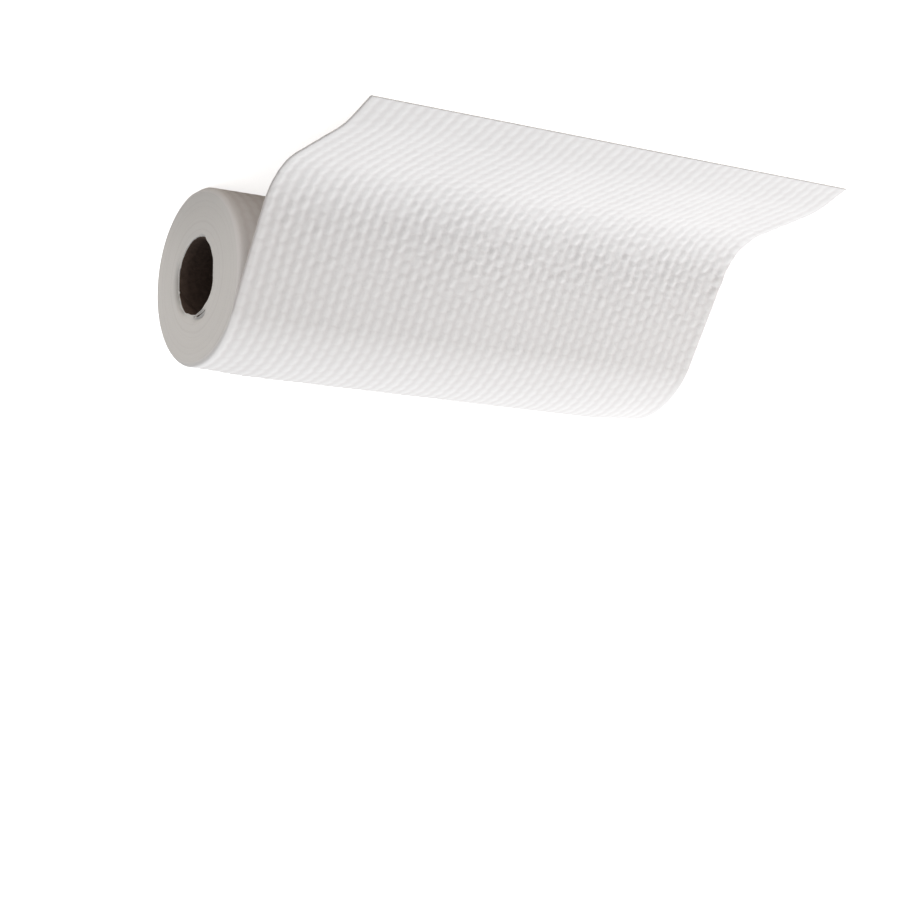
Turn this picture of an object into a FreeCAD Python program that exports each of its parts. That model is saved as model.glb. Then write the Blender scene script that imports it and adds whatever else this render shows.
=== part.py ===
"""Paper towel roll lying at rest, with its loose sheet drawn over the front and down to the floor.

Frame: X along the core, -Y towards the side that the loose sheet falls on, Z up, origin on the floor
in the middle of the flat spot that the roll lies on. Millimetres; slopes in degrees below level.
"""
import FreeCAD, Part
import math
import os

from FreeCAD import Vector

# the roll
WEB_WIDTH = 280.0       # width of the towel web, which is the roll's length
ROLL_R = 44.0           # outer radius over the embossed crests
SETTLE = 1.0            # how far the soft roll has settled on its flat spot
BORE_R = 20.0           # radius that the first turn is wound on

# the embossing: rows of pillows that run round the roll
ROW_PITCH = 5.83        # the embossing roller's pitch; a wider web takes more rows
ROWS = round(WEB_WIDTH / ROW_PITCH)
EMBOSS = 0.32           # depth from crest to groove

# the cardboard core
CORE_WALL = 1.0
CORE_RECESS = 1.0       # how far each end of the core lies inside the web

# the loose sheet, from the roll to its free end
SHEET_T = 0.8           # embossed caliper of the single sheet
NIP = 0.3               # step where the sheet parts from the turn below it
LEAVE_SLOPE = 54.0      # slope at which it parts from the roll
BEND_R = 38.6           # hollow bend where it comes down to the floor's level
SHELF_SLOPE = 2.3       # slope of the nearly level run
SHELF_RUN = 38.3
CURL_R = 40.0           # curl that turns the free end down
END_SLOPE = 16.2        # slope of the last run
END_RUN = 17.5

CUT_PAST = 1.0          # how far a cutting solid reaches past the web's ends
AXIS_Z = ROLL_R - SETTLE
ALONG = Vector(1, 0, 0)


def onward(slope):
    """Direction of the web's path towards its free end."""
    turn = math.radians(slope)
    return Vector(0, -math.cos(turn), -math.sin(turn))


def outward(slope):
    """Direction out of the web's embossed face."""
    turn = math.radians(slope)
    return Vector(0, -math.sin(turn), math.cos(turn))


def drop_run():
    """Length of the straight run off the roll that brings the free end's lower edge down to the floor."""
    leave, shelf, end = [math.radians(slope) for slope in (LEAVE_SLOPE, SHELF_SLOPE, END_SLOPE)]
    height = AXIS_Z + ROLL_R * math.cos(leave)
    height -= BEND_R * (math.cos(shelf) - math.cos(leave)) + SHELF_RUN * math.sin(shelf)
    height -= CURL_R * (math.cos(shelf) - math.cos(end)) + END_RUN * math.sin(end)
    return (height - SHEET_T * math.cos(end)) / math.sin(leave)


def web_face(point, slope, depth):
    """Section of the web across its path: embossed rows on the outer side, plain at a depth below."""
    half_row = WEB_WIDTH / ROWS / 2.0
    normal = outward(slope)
    corners = []
    for count in range(2 * ROWS + 1):
        sink = EMBOSS if count % 2 == 0 else 0.0
        corners.append(point + ALONG * (count * half_row - WEB_WIDTH / 2.0) - normal * sink)
    corners.append(point + ALONG * (WEB_WIDTH / 2.0) - normal * depth)
    corners.append(point - ALONG * (WEB_WIDTH / 2.0) - normal * depth)
    corners.append(corners[0])
    return Part.Face(Part.makePolygon(corners))


def straight(point, slope, run):
    """A straight stretch of the loose sheet, and the point where it ends."""
    path = onward(slope) * run
    return web_face(point, slope, SHEET_T).extrude(path), point + path


def bent(point, slope, new_slope, radius):
    """A bend of the loose sheet to a new slope, and the point where it ends."""
    side = 1.0 if new_slope < slope else -1.0
    centre = point + outward(slope) * (side * radius)
    arc = web_face(point, slope, SHEET_T).revolve(centre, ALONG, new_slope - slope)
    return arc, centre - outward(new_slope) * (side * radius)


def loose_sheet(leave_point):
    """The sheet that has come off the roll, as its straight and bent stretches."""
    drop, point = straight(leave_point, LEAVE_SLOPE, drop_run())
    hollow, point = bent(point, LEAVE_SLOPE, SHELF_SLOPE, BEND_R)
    shelf, point = straight(point, SHELF_SLOPE, SHELF_RUN)
    curl, point = bent(point, SHELF_SLOPE, END_SLOPE, CURL_R)
    end, point = straight(point, END_SLOPE, END_RUN)
    return [drop, hollow, shelf, curl, end]


def turns_over_top(leave_point):
    """The turns from the flat spot up the back and over the top, to where the sheet parts."""
    axis = Vector(0, 0, AXIS_Z)
    sweep = -(90.0 + LEAVE_SLOPE + 90.0)
    turns = web_face(leave_point, LEAVE_SLOPE, ROLL_R - BORE_R / 2.0).revolve(axis, ALONG, sweep)
    corner = Vector(-WEB_WIDTH / 2.0 - CUT_PAST, -ROLL_R, -ROLL_R)
    floor = Part.makeBox(WEB_WIDTH + 2.0 * CUT_PAST, 2.0 * ROLL_R, ROLL_R, corner)
    return turns.cut(floor)


def turns_under_sheet():
    """The turns below the loose sheet, one sheet and a small step further in where it parts."""
    left = Vector(-WEB_WIDTH / 2.0, 0, 0)
    axis = left + Vector(0, 0, AXIS_Z)
    under = ROLL_R - SHEET_T - NIP
    start = axis + outward(LEAVE_SLOPE) * under
    half_flat = math.sqrt(ROLL_R ** 2 - AXIS_Z ** 2)
    toe = left - Vector(0, half_flat, 0)
    low_slope = 180.0 - math.degrees(math.asin(half_flat / ROLL_R))
    middle = axis + outward((LEAVE_SLOPE + low_slope) / 2.0) * ((under + ROLL_R) / 2.0)
    outline = [Part.makeLine(axis, start), Part.Arc(start, middle, toe).toShape(),
               Part.makeLine(toe, left), Part.makeLine(left, axis)]
    return Part.Face(Part.Wire(outline)).extrude(ALONG * WEB_WIDTH)


def towel_web():
    """Wound turns and loose sheet as the one continuous web that they are, around the core's bore."""
    leave_point = Vector(0, 0, AXIS_Z) + outward(LEAVE_SLOPE) * ROLL_R
    pieces = [turns_under_sheet()] + loose_sheet(leave_point)
    web = turns_over_top(leave_point).multiFuse(pieces)
    start = Vector(-WEB_WIDTH / 2.0 - CUT_PAST, 0, AXIS_Z)
    bore = Part.makeCylinder(BORE_R, WEB_WIDTH + 2.0 * CUT_PAST, start, ALONG)
    return web.cut(bore).removeSplitter()


def core_tube():
    """Cardboard tube inside the turns, its ends a little inside the web."""
    length = WEB_WIDTH - 2.0 * CORE_RECESS
    start = Vector(-length / 2.0, 0, AXIS_Z)
    tube = Part.makeCylinder(BORE_R, length, start, ALONG)
    hole = Part.makeCylinder(BORE_R - CORE_WALL, length, start, ALONG)
    return tube.cut(hole)


def export(name, shape):
    """Write one solid to its own file and print its size."""
    solid = shape.Solids[0]
    solid.exportStep("parts/" + name + ".step")
    print(name, "solids", len(shape.Solids), "valid", solid.isValid(), "faces", len(solid.Faces),
          "volume", round(solid.Volume / 1000.0, 2), "cm3", solid.BoundBox)


os.makedirs("parts", exist_ok=True)
export("towel_web", towel_web())
export("core_tube", core_tube())
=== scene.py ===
"""Paper towel roll lying on its side, with its loose sheet drawn over the front and down to the floor.

X runs along the core, -Y towards the free end of the sheet, Z up. Lengths are metres.
"""
import enum
import logging
import math
import random
from dataclasses import dataclass, field
from typing import Any

import bmesh
import bpy
from mathutils import Matrix, Vector, noise


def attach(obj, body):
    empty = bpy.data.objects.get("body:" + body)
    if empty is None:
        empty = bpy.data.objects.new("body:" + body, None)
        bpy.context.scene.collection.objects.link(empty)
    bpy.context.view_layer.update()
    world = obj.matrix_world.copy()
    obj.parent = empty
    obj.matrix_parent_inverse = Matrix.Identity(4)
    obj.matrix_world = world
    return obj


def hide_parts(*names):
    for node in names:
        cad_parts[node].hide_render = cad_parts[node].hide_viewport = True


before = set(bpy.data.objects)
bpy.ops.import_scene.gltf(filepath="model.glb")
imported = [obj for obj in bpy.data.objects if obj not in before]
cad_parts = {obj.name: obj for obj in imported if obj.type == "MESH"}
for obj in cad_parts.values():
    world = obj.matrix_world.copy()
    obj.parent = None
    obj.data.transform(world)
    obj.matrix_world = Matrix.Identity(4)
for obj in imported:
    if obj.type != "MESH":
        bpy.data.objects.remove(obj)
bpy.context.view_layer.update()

LOG = logging.getLogger("paper_towel_roll")

MM = 0.001
WEB_WIDTH = 0.280  # width of the towel web, which is the roll's length
ROLL_R = 0.0440  # outer radius over the embossed crests
SETTLE = 0.0010  # how far the soft roll has settled on its flat spot
AXIS_Z = ROLL_R - SETTLE
BORE_R = 0.0200  # radius that the first turn is wound on
Socket = bpy.types.NodeSocket


class Slot(str, enum.Enum):
    """The record's material slots."""

    PAPER = "towel_paper"
    BOARD = "core_board"


class Held(str, enum.Enum):
    """How a sheet is held."""

    DRAPED = "draped"


def clamp(value: float) -> float:
    """A value held between 0 and 1."""
    return min(1.0, max(0.0, value))


def smooth(share: float) -> float:
    """A share from 0 to 1 with soft ends, held at 0 and 1 beyond them."""
    share = clamp(share)
    return share * share * (3.0 - 2.0 * share)


def bell(value: float, middle: float, reach: float) -> float:
    """A soft bump of height 1 at its middle, which has fallen to about a third at its reach."""
    return math.exp(-(((value - middle) / reach) ** 2))


def linear(hex_colour: str) -> tuple[float, float, float, float]:
    """An sRGB hex colour as linear red, green, blue and alpha.

    Args:
        hex_colour: six hex digits after a hash sign.

    Returns:
        The linear colour, alpha 1.
    """
    parts = [int(hex_colour[i : i + 2], 16) / 255.0 for i in (1, 3, 5)]
    red, green, blue = (p / 12.92 if p <= 0.04045 else ((p + 0.055) / 1.055) ** 2.4 for p in parts)
    return red, green, blue, 1.0


def add(
    tree: bpy.types.NodeTree, kind: str, settings: dict[str, Any], links: dict[str, Socket]
) -> bpy.types.Node:
    """Add a node with its settings and its incoming links.

    Args:
        tree: the material's node tree.
        kind: the node's type name.
        settings: attribute or input socket name to value.
        links: input socket name or number to the socket that feeds it.

    Returns:
        The new node.
    """
    node = tree.nodes.new(kind)
    for name, value in settings.items():
        if hasattr(node, name):
            setattr(node, name, value)
        else:
            node.inputs[int(name) if name.isdigit() else name].default_value = value
    for name, source in links.items():
        tree.links.new(source, node.inputs[int(name) if name.isdigit() else name])
    return node


def two_colours(
    tree: bpy.types.NodeTree, source: Socket, low: tuple[float, str], high: tuple[float, str]
) -> Socket:
    """Add a ramp between two colours.

    Args:
        tree: the material's node tree.
        source: the value that picks the colour.
        low: place and hex colour of its lower end.
        high: place and hex colour of its upper end.

    Returns:
        The ramp's colour.
    """
    ramp = add(tree, "ShaderNodeValToRGB", {}, {"Fac": source})
    for element, (position, colour) in zip(ramp.color_ramp.elements, (low, high)):
        element.position = position
        element.color = linear(colour)
    return ramp.outputs["Color"]


def start_material(name: str) -> tuple[bpy.types.Material, bpy.types.NodeTree]:
    """A new empty node material.

    Args:
        name: the material's name.

    Returns:
        The material and its emptied node tree.
    """
    material = bpy.data.materials.new(name)
    material.use_nodes = True
    material.node_tree.nodes.clear()
    return material, material.node_tree


@dataclass(frozen=True)
class TowelPaper:
    """Embossed air-laid pulp towel: soft, matt and fibrous, with painted shade that makes its grooves a
    little darker than its crests.
    """

    name: str = "airlaid_pulp_towel"
    crest: str = "#f4f3f3"
    # painted shade: the grooves' colour is the crests' colour darkened for the shade that lies in them
    groove: str = "#eae7e7"
    roughness: float = 0.93
    fibre_mm: float = 0.45  # real fibres are 0.03 mm; drawn as coarse as the render can show
    clump_mm: float = 3.2
    fibre_relief_mm: float = 0.05

    def make(self) -> bpy.types.Material:
        """Build the material; the relief attribute runs from 0 in a groove to 1 on a crest, and darkens the
        colour towards the grooves as painted shade.
        """
        material, tree = start_material(self.name)
        place = add(tree, "ShaderNodeTexCoord", {}, {}).outputs["Object"]
        relief = add(tree, "ShaderNodeAttribute", {"attribute_name": "relief"}, {}).outputs["Fac"]
        clump = add(
            tree,
            "ShaderNodeTexNoise",
            {"Scale": 1.0 / (self.clump_mm * MM), "Detail": 3.0},
            {"Vector": place},
        )
        mottled = add(
            # painted shade: the relief attribute darkens the colour towards the grooves, mixed with the real
            # mottle of the clumps
            tree,
            "ShaderNodeMath",
            {"operation": "MULTIPLY_ADD", "1": 0.5},
            {"0": clump.outputs["Fac"], "2": relief},
        )
        colour = two_colours(tree, mottled.outputs[0], (0.12, self.groove), (0.85, self.crest))
        fibre = add(
            tree,
            "ShaderNodeTexNoise",
            {"Scale": 1.0 / (self.fibre_mm * MM), "Detail": 5.0, "Roughness": 0.65, "Distortion": 0.6},
            {"Vector": place},
        )
        bump = add(
            tree,
            "ShaderNodeBump",
            {"Strength": 1.0, "Distance": self.fibre_relief_mm * MM},
            {"Height": fibre.outputs["Fac"]},
        )
        shader = add(
            tree,
            "ShaderNodeBsdfPrincipled",
            {
                "Roughness": self.roughness,
                "Specular IOR Level": 0.2,
                "Sheen Weight": 0.08,
                "Sheen Roughness": 0.6,
            },
            {"Base Color": colour, "Normal": bump.outputs["Normal"]},
        )
        add(tree, "ShaderNodeOutputMaterial", {}, {"Surface": shader.outputs["BSDF"]})
        return material


@dataclass(frozen=True)
class CutTurns:
    """The cut edges of the wound turns: fuzzy paper with faint rings where turns lie tighter or looser."""

    name: str = "cut_paper_turns"
    light: str = "#efefee"
    dark: str = "#e2e1e0"
    crack: str = "#5d5650"  # paper deep in the crevice round the mouth, where hardly any light comes
    turn_mm: float = 0.5
    band_mm: float = 3.4
    fuzz_mm: float = 0.5
    waver_mm: float = 16.0  # length over which the rings wander
    wander_mm: float = 1.6  # and how far
    relief_mm: float = 0.05

    def make(self) -> bpy.types.Material:
        """Build the material; its rings run round the roll's axis, and relief is 1 outside the crevice."""
        material, tree = start_material(self.name)
        place = add(tree, "ShaderNodeTexCoord", {}, {}).outputs["Object"]
        wobble = add(
            tree,
            "ShaderNodeTexNoise",
            {"Scale": 1.0 / (self.waver_mm * MM), "Detail": 2.0},
            {"Vector": place},
        )
        split = add(tree, "ShaderNodeSeparateXYZ", {}, {"Vector": place})
        height = add(
            tree, "ShaderNodeMath", {"operation": "SUBTRACT", "1": AXIS_Z}, {"0": split.outputs["Z"]}
        )
        flat = add(tree, "ShaderNodeCombineXYZ", {}, {"X": split.outputs["Y"], "Y": height.outputs[0]})
        radius = add(tree, "ShaderNodeVectorMath", {"operation": "LENGTH"}, {"0": flat.outputs[0]})
        wander = add(
            tree,
            "ShaderNodeMath",
            {"operation": "MULTIPLY_ADD", "1": self.wander_mm * MM},
            {"0": wobble.outputs["Fac"], "2": radius.outputs["Value"]},
        )
        turns = add(
            tree,
            "ShaderNodeTexNoise",
            {"noise_dimensions": "1D", "Scale": 1.0 / (self.turn_mm * MM), "Detail": 2.0},
            {"W": wander.outputs[0]},
        )
        bands = add(
            tree,
            "ShaderNodeTexNoise",
            {"noise_dimensions": "1D", "Scale": 1.0 / (self.band_mm * MM), "Detail": 3.0},
            {"W": wander.outputs[0]},
        )
        fuzz = add(
            tree,
            "ShaderNodeTexNoise",
            {"Scale": 1.0 / (self.fuzz_mm * MM), "Detail": 5.0, "Roughness": 0.7},
            {"Vector": place},
        )
        rings = add(
            tree,
            "ShaderNodeMath",
            {"operation": "MULTIPLY_ADD", "1": 0.55},
            {"0": turns.outputs["Fac"], "2": bands.outputs["Fac"]},
        )
        surface = add(
            tree,
            "ShaderNodeMath",
            {"operation": "MULTIPLY_ADD", "1": 0.5},
            {"0": fuzz.outputs["Fac"], "2": rings.outputs[0]},
        )
        edges = two_colours(tree, surface.outputs[0], (0.65, self.dark), (1.0, self.light))
        relief = add(tree, "ShaderNodeAttribute", {"attribute_name": "relief"}, {}).outputs["Fac"]
        # painted shade: where the relief attribute drops in the crevice round the mouth, the colour turns to
        # the crack colour
        colour = add(
            tree,
            "ShaderNodeMix",
            {"data_type": "RGBA", "6": linear(self.crack)},
            {"0": relief, "7": edges},
        )
        bump = add(
            tree,
            "ShaderNodeBump",
            {"Strength": 1.0, "Distance": self.relief_mm * MM},
            {"Height": surface.outputs[0]},
        )
        shader = add(
            tree,
            "ShaderNodeBsdfPrincipled",
            {"Roughness": 0.95, "Specular IOR Level": 0.15, "Sheen Weight": 0.1, "Sheen Roughness": 0.6},
            {"Base Color": colour.outputs[2], "Normal": bump.outputs["Normal"]},
        )
        add(tree, "ShaderNodeOutputMaterial", {}, {"Surface": shader.outputs["BSDF"]})
        return material


@dataclass(frozen=True)
class CoreBoard:
    """Spirally wound grey-brown chipboard: matt, mottled, with a darker seam line between its strips, and its
    colours darkened with painted shade for the dim inside of the tube.
    """

    name: str = "wound_chipboard"
    # painted shade: both colours are darker than real grey-brown chipboard, to stand for the dim inside of
    # the tube
    board_with_painted_shade: str = "#594a42"
    dark: str = "#453831"
    mottle_mm: float = 2.2
    grain_mm: float = 0.4
    grain_relief_mm: float = 0.06
    seam_share: float = 0.03

    def make(self) -> bpy.types.Material:
        """Build the material; the seam follows the strip attribute, a fraction of a strip's width."""
        material, tree = start_material(self.name)
        place = add(tree, "ShaderNodeTexCoord", {}, {}).outputs["Object"]
        strip = add(tree, "ShaderNodeAttribute", {"attribute_name": "strip"}, {}).outputs["Fac"]
        across = add(tree, "ShaderNodeMath", {"operation": "FRACT"}, {"0": strip})
        below = {"operation": "LESS_THAN", "1": self.seam_share}
        seam = add(tree, "ShaderNodeMath", below, {"0": across.outputs[0]})
        mottle = add(
            tree,
            "ShaderNodeTexNoise",
            {"Scale": 1.0 / (self.mottle_mm * MM), "Detail": 5.0, "Roughness": 0.6},
            {"Vector": place},
        )
        mottled = two_colours(tree, mottle.outputs["Fac"], (0.3, self.dark), (0.7, self.board_with_painted_shade))
        colour = add(
            tree,
            "ShaderNodeMix",
            {"data_type": "RGBA", "7": linear(self.dark)},
            {"0": seam.outputs[0], "6": mottled},
        )
        grain = add(
            tree,
            "ShaderNodeTexNoise",
            {"Scale": 1.0 / (self.grain_mm * MM), "Detail": 4.0},
            {"Vector": place},
        )
        bump = add(
            tree,
            "ShaderNodeBump",
            {"Strength": 0.8, "Distance": self.grain_relief_mm * MM},
            {"Height": grain.outputs["Fac"]},
        )
        shader = add(
            tree,
            "ShaderNodeBsdfPrincipled",
            {"Roughness": 0.88, "Specular IOR Level": 0.3},
            {"Base Color": colour.outputs[2], "Normal": bump.outputs["Normal"]},
        )
        add(tree, "ShaderNodeOutputMaterial", {}, {"Surface": shader.outputs["BSDF"]})
        return material


@dataclass(frozen=True)
class StudioWhite:
    """White table or paper sweep, bright enough to print as plain white."""

    name: str
    colour: str
    glow: float

    def make(self) -> bpy.types.Material:
        """Build the material."""
        material, tree = start_material(self.name)
        shader = add(
            tree,
            "ShaderNodeBsdfPrincipled",
            {
                "Base Color": linear(self.colour),
                "Roughness": 1.0,
                "Specular IOR Level": 0.0,
                "Emission Color": linear(self.colour),
                "Emission Strength": self.glow,
            },
            {},
        )
        add(tree, "ShaderNodeOutputMaterial", {}, {"Surface": shader.outputs["BSDF"]})
        return material


@dataclass(frozen=True)
class Emboss:
    """Rows of rounded pillows that run round the roll, each row shifted by half a pillow to the next."""

    width: float = WEB_WIDTH
    rows: int = 48
    pillow: float = 0.00691  # a pillow's length along the web, of which 40 go round the roll
    depth: float = 0.00036
    rib_power: float = 2.3  # a higher one makes the rows flatter on top, with narrower grooves
    notch_power: float = 2.8  # the same for the gaps between the pillows of a row
    notch_taut: float = 0.52  # share of the depth that those gaps have where the web is taut
    notch_slack: float = 0.38  # how much more they have in the slack drop
    slack_at: float = 0.040  # middle of the slack drop along the path
    slack_reach: float = 0.042
    uneven: float = 0.16  # share of the depth by which pillows differ
    spread_share: float = 0.10  # share by which a pillow is wider than its row amid, narrower at its ends
    ripple: float = 0.00022  # how far the rows wander sideways
    steps: tuple[float, ...] = (0.0, 0.2, 0.4, 0.6, 0.8)  # places of the mesh lines across a row
    steps_along: int = 8

    def lines_across(self) -> list[float]:
        """Places along X of the mesh lines that the rows need."""
        pitch = self.width / self.rows
        lines = [(row + step) * pitch for row in range(self.rows) for step in self.steps]
        return [line - self.width / 2 for line in lines + [self.width]]

    def share(self, x: float, s: float) -> float:
        """Height of the relief at a point, from 0 in a groove to 1 on a crest.

        Args:
            x: place along the roll.
            s: place along the web's path.

        Returns:
            The height as a share of the depth.
        """
        row, u, cell, v = self.cell(x, s)
        seed = noise.cell(Vector((row * 3.7, cell * 1.9, 0.5)))
        rib = 1.0 - abs(math.sin(math.pi * u / 2)) ** self.rib_power
        pillow = 1.0 - self.notch(x, s) * abs(v) ** self.notch_power
        return rib * pillow * (1.0 - self.uneven + self.uneven * seed)

    def notch(self, x: float, s: float) -> float:
        """Share of the depth that the gaps within a row have: slight where taut, more in the slack drop."""
        slack = bell(s, self.slack_at, self.slack_reach)
        return self.notch_taut + self.notch_slack * slack * self.slackness(x)

    @staticmethod
    def slackness(x: float) -> float:
        """How slack the loose sheet hangs at a place along the roll: 1 at the far end, 0.35 at the near."""
        return min(1.0, max(0.35, (0.135 - x) / 0.11))

    def cell(self, x: float, s: float) -> tuple[int, float, int, float]:
        """The row, place across it, pillow and place along it, the places from -1 to 1."""
        across = (x + self.width / 2) / (self.width / self.rows)
        row = min(int(across + 1e-6), self.rows - 1)
        along = s / self.pillow + 0.5 * (row % 2)
        cell = math.floor(along + 1e-6)
        return row, 2.0 * (across - row) - 1.0, cell, 2.0 * (along - cell) - 1.0

    def spread(self, x: float, s: float) -> float:
        """How far a point moves along X, as the pillows of a row push between those of its neighbours."""
        _, u, _, v = self.cell(x, s)
        edge = min(1.0, (self.width / 2 - abs(x)) / 0.006)
        push = self.spread_share * (self.width / self.rows / 2) * u * math.cos(math.pi * v)
        return (push + self.ripple * noise.noise(Vector((x * 60.0, s * 75.0, 4.0)))) * edge


@dataclass
class WebPath:
    """Line that the web's embossed face follows across the axis, from under the roll to the free end.

    Distance s is 0 where the sheet parts from the roll, negative on the roll and positive on the loose
    sheet. Slopes are in degrees below level.
    """

    roll_r: float = ROLL_R
    leave_slope: float = 54.0
    bend_r: float = 0.0386
    shelf_slope: float = 2.3
    shelf_run: float = 0.0383
    curl_r: float = 0.0400
    end_slope: float = 16.2
    end_run: float = 0.0175
    sheet_t: float = 0.0005
    hover: float = 0.0003  # how far the free end's lower edge stays over the floor, for its relief
    ease: float = 0.0060  # half length over which one stretch eases into the next
    step: float = 0.00025
    points: list[tuple[float, float, float]] = field(default_factory=list)

    def __post_init__(self) -> None:
        """Follow the slopes to the free end, and stretch the straight drop until that meets the floor."""
        drop = 0.050  # a first guess
        for _ in range(6):
            self._follow(drop)
            low = self.points[-1][1] - self.sheet_t * math.cos(math.radians(self.end_slope)) - self.hover
            drop += low / math.sin(math.radians(self.leave_slope))
        self._follow(drop)

    @property
    def length(self) -> float:
        """Length of the loose sheet."""
        return (len(self.points) - 1) * self.step

    def _follow(self, drop: float) -> None:
        """Work out the loose part's points for one length of its straight drop."""
        bend_run = self.bend_r * math.radians(self.leave_slope - self.shelf_slope)
        curl_run = self.curl_r * math.radians(self.end_slope - self.shelf_slope)
        turns = [
            (drop, self.leave_slope, self.leave_slope),
            (bend_run, self.leave_slope, self.shelf_slope),
            (self.shelf_run, self.shelf_slope, self.shelf_slope),
            (curl_run, self.shelf_slope, self.end_slope),
            (self.end_run, self.end_slope, self.end_slope),
        ]
        slopes = []
        for run, first, last in turns:
            count = max(1, round(run / self.step))
            slopes += [first + (last - first) * (i + 0.5) / count for i in range(count)]
        reach = round(self.ease / self.step)
        padded = [slopes[0]] * reach + slopes + [slopes[-1]] * reach
        eased, total = [], sum(padded[: 2 * reach])
        for i in range(len(slopes)):
            total += padded[i + 2 * reach]
            eased.append(total / (2 * reach + 1))
            total -= padded[i]
        angle = math.radians(90.0 + self.leave_slope)
        y = self.roll_r * math.cos(angle)
        z = AXIS_Z + self.roll_r * math.sin(angle)
        self.points = [(y, z, self.leave_slope)]
        for slope in eased:
            y -= math.cos(math.radians(slope)) * self.step
            z -= math.sin(math.radians(slope)) * self.step
            self.points.append((y, z, slope))

    def at(self, s: float, lift: float) -> tuple[float, float]:
        """A point (y, z) off the path.

        Args:
            s: distance along the path.
            lift: distance out of the embossed face.

        Returns:
            The point's y and z.
        """
        if s <= 0.0:
            angle = math.radians(90.0 + self.leave_slope) + s / self.roll_r
            radius = self.roll_r + lift
            return radius * math.cos(angle), AXIS_Z + radius * math.sin(angle)
        place = min(s / self.step, len(self.points) - 1.0001)
        i = int(place)
        rest = place - i
        y = self.points[i][0] * (1 - rest) + self.points[i + 1][0] * rest
        z = self.points[i][1] * (1 - rest) + self.points[i + 1][1] * rest
        slope = math.radians(self.points[i][2] * (1 - rest) + self.points[i + 1][2] * rest)
        return y - math.sin(slope) * lift, z + math.cos(slope) * lift


def finish_piece(
    bm: bmesh.types.BMesh, name: str, materials: list[bpy.types.Material], slot: Slot, *nodes: str
) -> bpy.types.Object:
    """Turn a bmesh into a smooth piece that rides with the roll and stands for its CAD nodes.

    Args:
        bm: the piece's mesh, freed here.
        name: the piece's name.
        materials: its materials, in the order of its faces' numbers.
        slot: not used.
        *nodes: the CAD nodes that it stands for.

    Returns:
        The new object.
    """
    for face in bm.faces:
        face.smooth = True
    mesh = bpy.data.meshes.new(name)
    bm.to_mesh(mesh)
    bm.free()
    piece = bpy.data.objects.new(name, mesh)
    bpy.context.scene.collection.objects.link(piece)
    for material in materials:
        mesh.materials.append(material)
    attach(piece, "root")
    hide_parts(*nodes)
    LOG.info("%s: %d faces", name, len(mesh.polygons))
    return piece


def spin_chain(bm: bmesh.types.BMesh, verts: list[bmesh.types.BMVert], way: float, steps: int) -> None:
    """Close a chain of points into a ring and spin it once round the roll's axis.

    Args:
        bm: the mesh, which holds the points alone.
        verts: the points, in order.
        way: 1 or -1, the axis' direction along X.
        steps: number of steps round.
    """
    for one, other in zip(verts, verts[1:] + verts[:1]):
        bm.edges.new((one, other))
    bmesh.ops.spin(
        bm,
        geom=bm.verts[:] + bm.edges[:],
        cent=Vector((0.0, 0.0, AXIS_Z)),
        axis=Vector((way, 0.0, 0.0)),
        dvec=Vector((0.0, 0.0, 0.0)),
        angle=math.tau,
        steps=steps,
        use_merge=True,
        use_normal_flip=False,
        use_duplicate=False,
    )
    bmesh.ops.recalc_face_normals(bm, faces=bm.faces)


@dataclass
class LooseSheet:
    """The single sheet that has come off the roll, in one thickness of embossed paper."""

    path: WebPath
    emboss: Emboss
    tuck: float = 0.0030  # how far its start lies within the outer turn
    sway: float = 0.0006  # soft unevenness over its width
    crumple: float = 0.00046  # uneven pillows, most in the hollow bend
    crowd: float = 0.80  # how much deeper the relief is in the hollow bend
    bend_at: float = 0.066  # middle of the hollow bend along the path

    def unevenness(self, x: float, s: float) -> float:
        """Soft wave of the sheet out of its path, none where it leaves the roll or meets the floor."""
        grow = clamp(s / 0.06) * clamp((self.path.length - s) / 0.03)
        wave = math.sin(x * 33.0 + s * 9.0 + 0.6) + 0.6 * math.sin(x * 71.0 - s * 25.0 + 2.1)
        bend = bell(s, self.bend_at - 0.010, 0.032) * self.emboss.slackness(x)
        fine = noise.noise(Vector((x * 310.0, s * 260.0, 1.0)))
        fine += 0.6 * noise.noise(Vector((x * 640.0, s * 560.0, 2.0)))
        return self.sway * wave * grow + self.crumple * (0.34 + 0.66 * bend) * fine * min(1.0, grow + 0.2)

    def plumpness(self, s: float) -> float:
        """Depth of the relief against the plain one, more in the hollow bend, which crowds the pillows."""
        crowded = bell(s, self.bend_at, 0.028)
        return 1.0 + self.crowd * (crowded + (0.3 * (1.0 - crowded) if s > self.bend_at else 0.0))

    def build(self, paper: bpy.types.Material) -> bpy.types.Object:
        """Bend an embossed grid along the path and give it its thickness.

        Args:
            paper: the towel's material.

        Returns:
            The sheet's object.
        """
        lines = self.emboss.lines_across()
        pitch = self.emboss.pillow / self.emboss.steps_along
        first = -math.ceil(self.tuck / pitch) * pitch
        count = round((self.path.length - first) / pitch)
        bm = bmesh.new()
        bmesh.ops.create_grid(bm, x_segments=len(lines) - 1, y_segments=count, size=0.5)
        relief = bm.verts.layers.float.new("relief")
        for vert in bm.verts:
            column = round((vert.co.x + 0.5) * (len(lines) - 1))
            row = round((vert.co.y + 0.5) * count)
            s = first + (self.path.length - first) * row / count
            x = lines[column]
            share = self.emboss.share(x, s)
            lift = (share - 1.0) * self.emboss.depth * self.plumpness(s) + self.unevenness(x, s)
            if s < 0.0:
                lift -= 40.0 * s * s  # its start dips into the outer turn
            y, z = self.path.at(s, lift)
            vert[relief] = share
            vert.co = Vector((x + self.emboss.spread(x, s), y, z))
        bmesh.ops.recalc_face_normals(bm, faces=bm.faces)
        if sum(face.normal.z for face in bm.faces) < 0:
            bmesh.ops.reverse_faces(bm, faces=bm.faces)
        bm.normal_update()
        bmesh.ops.solidify(bm, geom=bm.faces[:], thickness=self.path.sheet_t)
        for vert in bm.verts:
            vert.co.z = max(vert.co.z, 0.0001)
        piece = finish_piece(bm, "loose_sheet", [paper], Slot.PAPER, "towel_web")
        return piece


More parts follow.
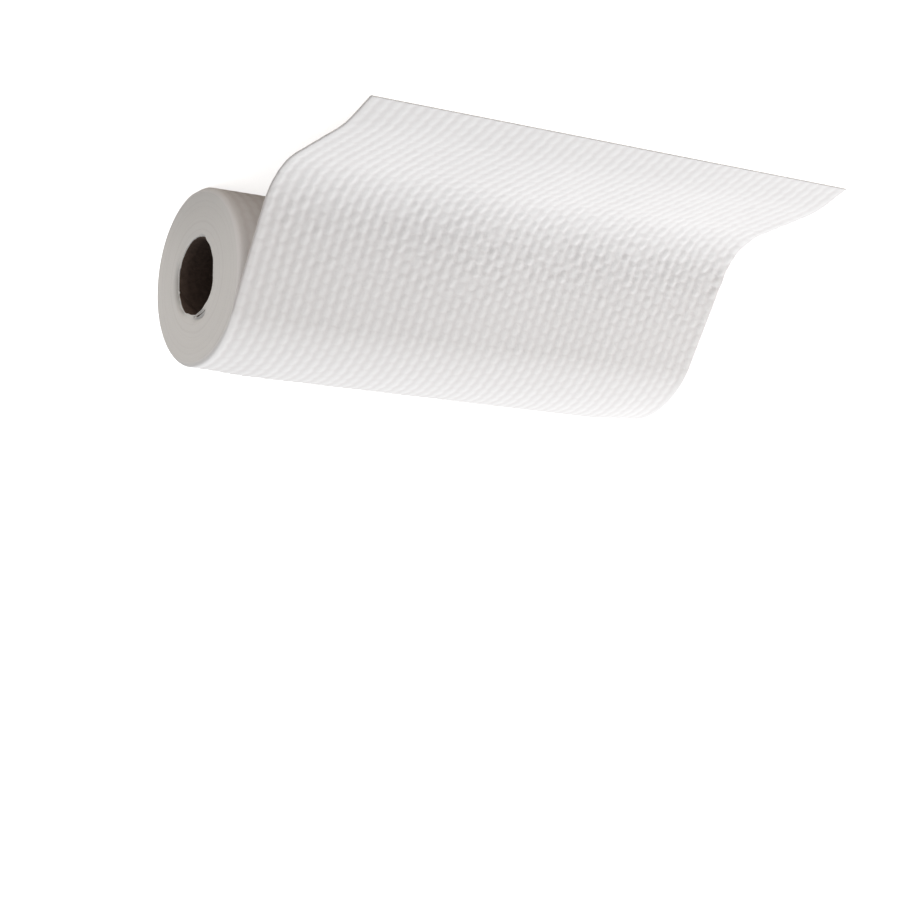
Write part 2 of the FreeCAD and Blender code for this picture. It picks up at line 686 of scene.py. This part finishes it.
@dataclass
class WoundTurns:
    """All the turns still on the core, with the outer one embossed and the cut edges at both ends."""

    path: WebPath
    emboss: Emboss
    around: int = 320
    rings: tuple[float, ...] = (
        0.88, 0.76, 0.64, 0.53, 0.43, 0.34, 0.26, 0.19, 0.13, 0.085, 0.05, 0.022, 0.0
    )  # places of the mesh lines on the cut ends, from 1 at the rim to 0 at the mouth
    rim: float = 0.0025  # softness of the rim
    mouth: float = 0.0005  # softness of the mouth round the core
    nip: float = 0.0003  # step where the sheet parts from the turn below it
    parting: float = 0.0050  # length over which that step comes down
    front: float = 114.0  # degrees round the front over which it fades again towards the floor
    slack: float = 0.0026  # how far the outer turns stand off over the top, more at the far end
    lobe_at: float = 76.0  # degrees from the front's level to the middle of what stands off
    lobe_half: float = 52.0  # and half its width
    slack_near: float = 0.48  # share of the slack at the near end
    slack_more: float = 0.92  # how much it has grown by over the far run
    far_run: float = 0.250
    shoulder: float = 0.036  # length over which it comes down at the near end, and by half at the far one
    first_turns: float = 0.0026  # thickness of the first turns, which hang into the mouth
    crevice: float = 0.0042  # depth of the gap behind the first turns at the near mouth
    crevice_r: float = 0.0216  # radius of its middle
    crevice_reach: float = 0.0010
    flat_ease: float = 0.0006  # height below which the skin presses itself flat on the floor
    torn: tuple[tuple[float, float], ...] = (
        (0, 1.0), (18, 0.4), (30, -0.9), (44, 0.2), (62, 1.6), (78, 1.9), (94, 3.2), (112, 3.2), (135, 2.9),
        (178, 3.8), (205, 2.8), (232, 1.6), (251, -0.6), (270, 0.2), (335, 0.2), (350, 0.9), (360, 1.0),
    )  # degrees round the near mouth, and how many millimetres its torn edge hangs in there

    def profile(self) -> list[tuple[float, float, int]]:
        """Closed half section as (x, radius, region): region 0 is skin, 1 cut edge, 2 bore and 3 rim."""
        half = self.emboss.width / 2
        outer = self.path.roll_r
        lines = [x for x in self.emboss.lines_across() if abs(x) < half - self.rim * 0.99]
        chain = [(x, outer, 0) for x in lines]
        inner, top = BORE_R + self.mouth, outer - self.rim
        end = []
        for i in range(1, 7):
            t = math.radians(90.0 - 15.0 * i)
            end.append((half - self.rim + self.rim * math.cos(t), top + self.rim * math.sin(t), 3))
        end += [(half, inner + (top - inner) * share, 1) for share in self.rings]
        for i in range(1, 4):
            t = math.radians(90.0 + 30.0 * i)
            end.append((half - self.mouth + self.mouth * math.sin(t), inner + self.mouth * math.cos(t), 1))
        end.append((half - self.mouth - 0.0002, BORE_R, 2))
        chain += end
        chain += [(0.0, BORE_R, 2)]
        chain += [(-x, r, k) for x, r, k in reversed(end)]
        return chain

    def skin_radius(self, s: float) -> float:
        """Radius of the outer face, which ends under the loose sheet one sheet further in.

        Args:
            s: distance along the web from where the sheet parts, negative, down to one turn.

        Returns:
            The radius over the crests.
        """
        outer = self.path.roll_r
        hidden = math.tau * outer + s
        front = outer * math.radians(self.front)
        if hidden > front:
            return outer
        lost = self.path.sheet_t + self.nip
        if hidden < self.parting:
            return outer - lost * hidden / self.parting
        return outer - lost * (1.0 - (hidden - self.parting) / (front - self.parting))

    def stand_off(self, x: float, angle: float) -> float:
        """How far the loosened outer turns stand off the round form, over the top towards the far end."""
        lobe = (angle - math.radians(self.lobe_at)) / math.radians(self.lobe_half)
        if abs(lobe) >= 1.0:
            return 0.0
        half = self.emboss.width / 2
        far = max(0.0, min(1.1, (half - x) / self.far_run))
        inward = smooth((half - abs(x)) / self.shoulder)
        if x < 0:
            inward = 0.5 + 0.5 * inward
        grown = self.slack_near + self.slack_more * far
        return self.slack * grown * inward * math.cos(lobe * math.pi / 2) ** 2

    def lip(self, x: float, angle: float) -> float:
        """How far the torn edge of the first turns hangs into the mouth, another way round at the far end."""
        turn = math.degrees(angle if x > 0 else 2.0 - angle) % 360.0
        hang = 0.0
        for (one, low), (other, high) in zip(self.torn, self.torn[1:]):
            if one <= turn <= other:
                hang = low + (high - low) * smooth((turn - one) / (other - one))
        near = Vector((math.cos(angle) * 9.0, math.sin(angle) * 9.0, 7.0 if x > 0 else 3.0))
        rough = 0.14 * noise.noise(near) + 0.06 * noise.noise(near * 3.0)
        return MM * (hang - 0.25 + rough)

    def gap(self, x: float, angle: float, radius: float) -> float:
        """Depth of the crevice where the first turns have parted from the rest, round the near mouth."""
        if x < 0:
            return 0.0
        turn = (math.degrees(angle) + 180.0) % 360.0 - 180.0
        middle = self.crevice_r + 0.0006 * math.cos(math.radians(turn * 2.2))
        # wide open at the back of the mouth, and a little at its top
        open_here = bell(turn, 8.0, 30.0) + 0.5 * bell(turn, 95.0, 16.0)
        return self.crevice * min(1.0, open_here) * bell(radius, middle, self.crevice_reach)

    def build(self, paper: bpy.types.Material, cut: bpy.types.Material) -> bpy.types.Object:
        """Spin the half section round the axis and press the pillows, the flat spot and the rings into it.

        Args:
            paper: the towel's material.
            cut: the cut edges' material.

        Returns:
            The turns' object.
        """
        bm = bmesh.new()
        region = bm.verts.layers.int.new("region")
        relief = bm.verts.layers.float.new("relief")
        leave = math.radians(90.0 + self.path.leave_slope)
        direction = Vector((0.0, math.cos(leave), math.sin(leave)))
        verts = []
        for x, radius, kind in self.profile():
            vert = bm.verts.new(Vector((x, 0.0, AXIS_Z)) + direction * radius)
            vert[region] = kind
            verts.append(vert)
        spin_chain(bm, verts, -1.0, self.around)
        for face in bm.faces:
            kinds = [vert[region] for vert in face.verts]
            face.material_index = 1 if 1 in kinds or 2 in kinds else 0
        for vert in bm.verts:
            self._shape(vert, region, relief, leave)
        return finish_piece(bm, "wound_turns", [paper, cut], Slot.PAPER, "towel_web")

    def _shape(self, vert: bmesh.types.BMVert, region: Any, relief: Any, leave: float) -> None:
        """Move one vertex from the plain spun form to the real one.

        Args:
            vert: the vertex.
            region: the layer that says which part of the section it is on.
            relief: the layer that takes its relief for the materials.
            leave: angle round the axis at which the sheet parts.
        """
        y, z = vert.co.y, vert.co.z - AXIS_Z
        radius = math.hypot(y, z)
        angle = math.atan2(z, y)
        outer = self.path.roll_r
        girth = math.tau * outer
        s = ((angle - leave) * outer) % girth - girth
        if s < -girth + 1e-7:
            s = 0.0
        x = vert.co.x
        kind = vert[region]
        share = 1.0
        side = math.copysign(1.0, x)
        if kind in (0, 3):
            inside = max(0.0, (self.emboss.width / 2 - abs(x)) / self.rim - 0.9)
            edge = min(1.0, inside) if kind == 0 else 0.0
            hidden = clamp(-math.sin(angle) * 1.6 - 0.1)  # the weight irons the relief below
            share = self.emboss.share(x, s)
            lift = (share - 1.0) * self.emboss.depth * edge * (1.0 - 0.7 * hidden)
            x += self.emboss.spread(x, s) if kind == 0 else 0.0
            share = share * edge + 1.0 - edge
            if kind == 3:  # the rim is crisper where the sheet parts
                sharp = 0.72 * bell(s if s > -0.07 else s + girth, 0.0, 0.022)
                radius += (outer - radius) * sharp
                x += side * (self.emboss.width / 2 - abs(x)) * sharp * 0.6
            radius += lift + self.skin_radius(s) - outer + self.stand_off(x, angle)
        elif kind == 1:
            reach = (radius - BORE_R) / (outer - BORE_R)
            depth = self.gap(x, angle, radius)
            # painted shade: the relief drops with the crevice's depth, which darkens the cut paper there in
            # its material
            share = 1.0 - 0.85 * min(1.0, depth / self.crevice)
            hang = clamp((BORE_R + self.first_turns - radius) / 0.0024)
            radius += (self.skin_radius(s) - outer + self.stand_off(x, angle)) * max(0.0, reach) ** 2
            radius -= self.lip(x, angle) * hang
            near = Vector((radius * 90.0, math.cos(angle) * 0.7, math.sin(angle) * 0.7 + side * 5.0))
            sag = 0.0002 + 0.0004 * noise.noise(near * 1.4) + 0.0001 * noise.noise(near * 6.0)
            held = min(1.0, max(0.0, outer - self.rim - radius) / 0.003 + 0.15)
            x -= side * (max(0.0, sag) * held + depth)
        vert[relief] = share
        y, z = radius * math.cos(angle), radius * math.sin(angle) + AXIS_Z
        if z < self.flat_ease and kind < 2:
            z = self.flat_ease * math.exp((z - self.flat_ease) / self.flat_ease)
        vert.co = Vector((x, y, max(z, 0.0)))


@dataclass
class CoreTube:
    """Cardboard tube that the web is wound on, its ends a little inside the turns."""

    inner_r: float = 0.0190
    outer_r: float = 0.0199
    length: float = 0.2780
    fray: float = 0.0004  # unevenness of its ends
    around: int = 96
    along: int = 60
    lead: float = 0.070  # distance along the tube of one turn of its strips

    def build(self, board_with_painted_shade: bpy.types.Material) -> bpy.types.Object:
        """Spin the tube's wall, with softly frayed ends and the strips' seam.

        Args:
            board_with_painted_shade: the chipboard.

        Returns:
            The tube's object.
        """
        bm = bmesh.new()
        strip = bm.verts.layers.float.new("strip")
        half = self.length / 2
        chain = [(-half + self.length * i / self.along, self.inner_r) for i in range(self.along + 1)]
        chain += [(half + 0.0002, (self.inner_r + self.outer_r) / 2)]
        chain += [(half - self.length * i / 4, self.outer_r) for i in range(5)]
        chain += [(-half - 0.0002, (self.inner_r + self.outer_r) / 2)]
        verts = [bm.verts.new(Vector((x, radius, AXIS_Z))) for x, radius in chain]
        spin_chain(bm, verts, 1.0, self.around)
        for vert in bm.verts:
            angle = math.atan2(vert.co.z - AXIS_Z, vert.co.y)
            vert[strip] = vert.co.x / self.lead + angle / math.tau + 4.0
            if abs(vert.co.x) > half - 0.0001:
                frayed = noise.noise(Vector((math.cos(angle) * 3, math.sin(angle) * 3, vert.co.x * 40)))
                vert.co.x += math.copysign(self.fray * frayed, vert.co.x)
        return finish_piece(bm, "core_tube_board", [board_with_painted_shade], Slot.BOARD, "core_tube")


@dataclass
class MouthLint:
    """Torn shreds of the first turn that stand round the core's mouth at one end of the roll."""

    side: float  # 1 at the near end, -1 at the far one
    seed: int
    shreds: int = 24
    width: tuple[float, float] = (0.0010, 0.0034)  # least and most of each
    depth: tuple[float, float] = (0.0002, 0.0009)
    lean: tuple[float, float] = (0.0002, 0.0012)  # how far its inner end leans in from the wall
    start: tuple[float, float] = (0.0002, 0.0008)  # how far it starts inside the mouth
    half: float = WEB_WIDTH / 2
    thickness: float = 0.00018
    reach: float = 0.0025  # how far into the mouth they may lie

    def build(self, paper: bpy.types.Material) -> bpy.types.Object:
        """Grow the shreds from small bent patches on the mouth's wall.

        Args:
            paper: the cut paper's material.

        Returns:
            The shreds' object.
        """
        rng = random.Random(self.seed)
        bm = bmesh.new()
        relief = bm.verts.layers.float.new("relief")
        for _ in range(self.shreds):
            turn = rng.uniform(0.0, math.tau)
            wide = rng.uniform(*self.width)
            deep = rng.uniform(*self.depth)
            made = bmesh.ops.create_grid(bm, x_segments=4, y_segments=3, size=0.5)
            lean = rng.uniform(*self.lean)
            start = rng.uniform(*self.start)
            for vert in made["verts"]:
                u, v = vert.co.x, vert.co.y + 0.5
                taper = 1.0 - 0.75 * v * v
                angle = turn + u * wide * taper / BORE_R
                radius = BORE_R + 0.0001 - lean * v * v - 0.0001 * rng.random()
                x = self.half - start - deep * v + rng.uniform(-0.00005, 0.00005)
                vert.co = Vector((self.side * x, radius * math.cos(angle), AXIS_Z + radius * math.sin(angle)))
        bmesh.ops.recalc_face_normals(bm, faces=bm.faces)
        bmesh.ops.solidify(bm, geom=bm.faces[:], thickness=self.thickness)
        for vert in bm.verts:
            y, z = vert.co.y, vert.co.z - AXIS_Z
            keep = min(1.0, (BORE_R + 0.0003) / math.hypot(y, z))
            x = self.side * min(self.half - 0.0001, max(self.half - self.reach, self.side * vert.co.x))
            vert.co = Vector((x, y * keep, AXIS_Z + z * keep))
            vert[relief] = 1.0
        name = "mouth_shreds_right" if self.side > 0 else "mouth_shreds_left"
        return finish_piece(bm, name, [paper], Slot.PAPER, "towel_web")


@dataclass
class Studio:
    """White sweep, one soft light and the camera, turned over as the photograph is."""

    azimuth: float = 34.29
    elevation: float = 9.97
    roll: float = -1.51 + 180.0
    lens: float = 85.97
    eye: tuple[float, float, float] = (0.61031, -0.90423, 0.30936)
    white: str = "#f7f7f7"
    floor_glow: float = 0.80
    wall_glow: float = 1.2
    table: str = "#efe7df"
    table_glow: float = 0.10
    ambient: float = 0.46
    key: float = 13.5
    key_at: tuple[float, float, float] = (-0.80, 0.12, 1.15)
    key_size: tuple[float, float] = (0.7, 0.6)
    key_aim: tuple[float, float, float] = (0.0, -0.03, 0.05)

    def sweep(self, name: str, white: StudioWhite, radius: float | None, drop: float) -> bpy.types.Object:
        """One plain white surface of the set.

        Args:
            name: the surface's name.
            white: its material.
            radius: radius of a round surround, or None for the flat floor.
            drop: how far below the floor's level it lies.

        Returns:
            The surface's object.
        """
        bm = bmesh.new()
        if radius is None:
            bmesh.ops.create_grid(bm, x_segments=1, y_segments=1, size=6.0)
        else:
            bmesh.ops.create_uvsphere(bm, u_segments=48, v_segments=24, radius=radius)
            bmesh.ops.reverse_faces(bm, faces=bm.faces)
        bmesh.ops.translate(bm, verts=bm.verts, vec=(0.0, 0.0, -drop))
        mesh = bpy.data.meshes.new(name)
        bm.to_mesh(mesh)
        bm.free()
        mesh.materials.append(white.make())
        surface = bpy.data.objects.new(name, mesh)
        bpy.context.scene.collection.objects.link(surface)
        return surface

    def floor(self) -> None:
        """Lay a floor that prints as white, over a duller and warmer one that sends the light back up."""
        seen = self.sweep("floor", StudioWhite("white_sweep", self.white, self.floor_glow), None, 0.0)
        wall = self.sweep(
            "white_surround", StudioWhite("white_surround", self.white, self.wall_glow), 5.9, 0.0
        )
        bounce = self.sweep(
            "floor_bounce", StudioWhite("grey_table", self.table, self.table_glow), None, 0.0004
        )
        for flag in ("visible_diffuse", "visible_glossy", "visible_shadow", "visible_transmission"):
            setattr(seen, flag, False)
            setattr(wall, flag, False)
        bounce.visible_camera = False

    def lights(self) -> None:
        """Hang one soft light above, towards the far end, in an even surround."""
        world = bpy.data.worlds.new("even_surround")
        bpy.context.scene.world = world
        world.use_nodes = True
        background = world.node_tree.nodes["Background"]
        background.inputs["Color"].default_value = (1.0, 1.0, 1.0, 1.0)
        background.inputs["Strength"].default_value = self.ambient
        lamp = bpy.data.lights.new("overhead_softbox", "AREA")
        lamp.shape = "RECTANGLE"
        lamp.size, lamp.size_y = self.key_size
        lamp.energy = self.key
        box = bpy.data.objects.new("overhead_softbox", lamp)
        box.location = self.key_at
        aim = Vector(self.key_aim) - box.location
        box.rotation_mode = "QUATERNION"
        box.rotation_quaternion = aim.to_track_quat("-Z", "Y")
        bpy.context.scene.collection.objects.link(box)

    def camera(self) -> None:
        """Set the camera where the photograph was taken from."""
        a, e, r = (math.radians(value) for value in (self.azimuth, self.elevation, self.roll))
        back = Vector((math.sin(a) * math.cos(e), -math.cos(a) * math.cos(e), math.sin(e)))
        level = Vector((math.cos(a), math.sin(a), 0.0))
        upright = back.cross(level)
        right = level * math.cos(r) + upright * math.sin(r)
        up = upright * math.cos(r) - level * math.sin(r)
        data = bpy.data.cameras.new("photo_camera")
        data.sensor_fit = "HORIZONTAL"
        data.sensor_width = 36.0
        data.lens = self.lens
        data.clip_end = 50.0
        camera = bpy.data.objects.new("photo_camera", data)
        turn = Matrix((right, up, back)).transposed()
        camera.matrix_world = Matrix.Translation(Vector(self.eye)) @ turn.to_4x4()
        bpy.context.scene.collection.objects.link(camera)
        bpy.context.scene.camera = camera


def main() -> None:
    """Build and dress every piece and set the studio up."""
    logging.basicConfig(level=logging.INFO)
    bpy.context.scene.view_settings.view_transform = "Standard"
    bpy.context.scene.view_settings.look = "None"
    path = WebPath()
    emboss = Emboss()
    paper = TowelPaper().make()
    cut = CutTurns().make()
    board_with_painted_shade = CoreBoard().make()
    WoundTurns(path, emboss).build(paper, cut)
    LooseSheet(path, emboss).build(paper)
    CoreTube().build(board_with_painted_shade)
    MouthLint(1.0, 11).build(cut)
    MouthLint(-1.0, 23).build(cut)
    studio = Studio()
    studio.floor()
    studio.lights()
    studio.camera()


if __name__ == "__main__":
    main()
